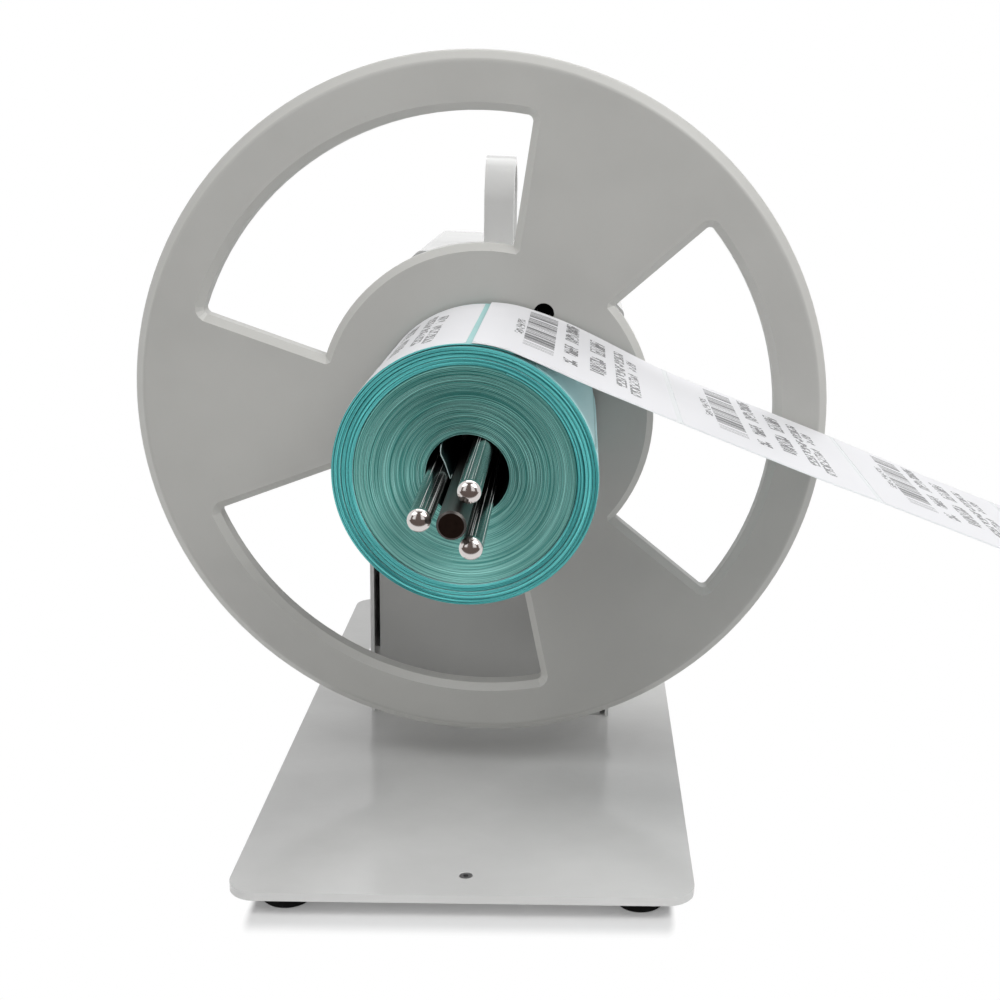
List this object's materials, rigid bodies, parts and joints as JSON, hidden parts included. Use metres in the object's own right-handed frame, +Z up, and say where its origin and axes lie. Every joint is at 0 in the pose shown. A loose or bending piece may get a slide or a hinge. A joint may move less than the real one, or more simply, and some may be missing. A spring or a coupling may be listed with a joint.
{
  "type": "label rewinder",
  "caption": "Motor-driven label rewinder: a bevelled, windowed winding disc with a rod spindle holds a label roll in front of a sheet-metal column on a flat base plate.",
  "frame": {"origin": "on the table, under the middle of the whole outline", "axes": "+X to the right and +Y to the back as seen from the roll's side, +Z up; the spindle runs along Y"},
  "size_m": [0.33, 0.3614, 0.2725],
  "materials": {
    "disc_paint": "satin powder coat",
    "body_paint": "semi-gloss powder coat",
    "panel_paint": "semi-gloss powder coat",
    "foot_rubber": "matte",
    "screw_steel": "satin",
    "dark_steel": "blackened",
    "rod_steel": "polished",
    "bearing_steel": "ground",
    "hub_alloy": "machined",
    "motor_steel": "satin",
    "board_resin": "gloss",
    "black_plastic": "matte",
    "label_liner": "satin",
    "label_face": "satin"
  },
  "bodies": {
    "base": {"base_plate": "body_paint", "rubber_feet": "foot_rubber", "plug_screw": "screw_steel", "housing_shell": "body_paint", "front_panel": "panel_paint", "rear_panel": "panel_paint", "base_screws": "screw_steel", "base_nuts": "screw_steel", "panel_screws": "screw_steel", "carry_loop": "body_paint", "loop_screws": "screw_steel", "loop_nuts": "screw_steel", "bearing_housing": "hub_alloy", "front_bearing": "bearing_steel", "rear_bearing": "bearing_steel", "flange_screws": "screw_steel", "motor_spacers": "hub_alloy", "motor_plate": "motor_steel", "plate_screws": "screw_steel", "gearbox_case": "hub_alloy", "gear_screws": "screw_steel", "motor_can": "motor_steel", "control_board": "board_resin", "board_standoffs": "hub_alloy", "board_screws": "screw_steel", "speed_pot": "motor_steel", "pot_nut": "screw_steel", "switch_body": "black_plastic", "dc_inlet": "black_plastic", "inlet_nut": "screw_steel", "label_web": "label_face"},
    "spindle": {"winding_disc": "disc_paint", "disc_hub": "hub_alloy", "hub_screws": "screw_steel", "hub_grub_screw": "dark_steel", "spindle_shaft": "dark_steel", "core_rod_1": "rod_steel", "core_rod_2": "rod_steel", "core_rod_3": "rod_steel", "shaft_coupling": "hub_alloy", "coupling_screws": "dark_steel", "motor_shaft": "bearing_steel", "label_roll": "label_liner", "outer_turns": "label_face"},
    "knob": {"speed_knob": "black_plastic", "pot_shaft": "bearing_steel"},
    "rocker": {"rocker_cap": "black_plastic"}
  },
  "joints": [
    {"name": "spindle_spin", "type": "hinge", "parent": "base", "child": "spindle", "pos_m": [-0.03998, -0.02525, 0.1475], "axis": [0, 1, 0], "continuous": true},
    {"name": "speed_turn", "type": "hinge", "parent": "base", "child": "knob", "pos_m": [-0.06198, 0.14475, 0.0705], "axis": [0, -1, 0], "range_deg": [0, 300]},
    {"name": "power_rock", "type": "hinge", "parent": "base", "child": "rocker", "pos_m": [-0.01798, 0.13575, 0.0705], "axis": [1, 0, 0], "range_deg": [-18, 0]}
  ]
}
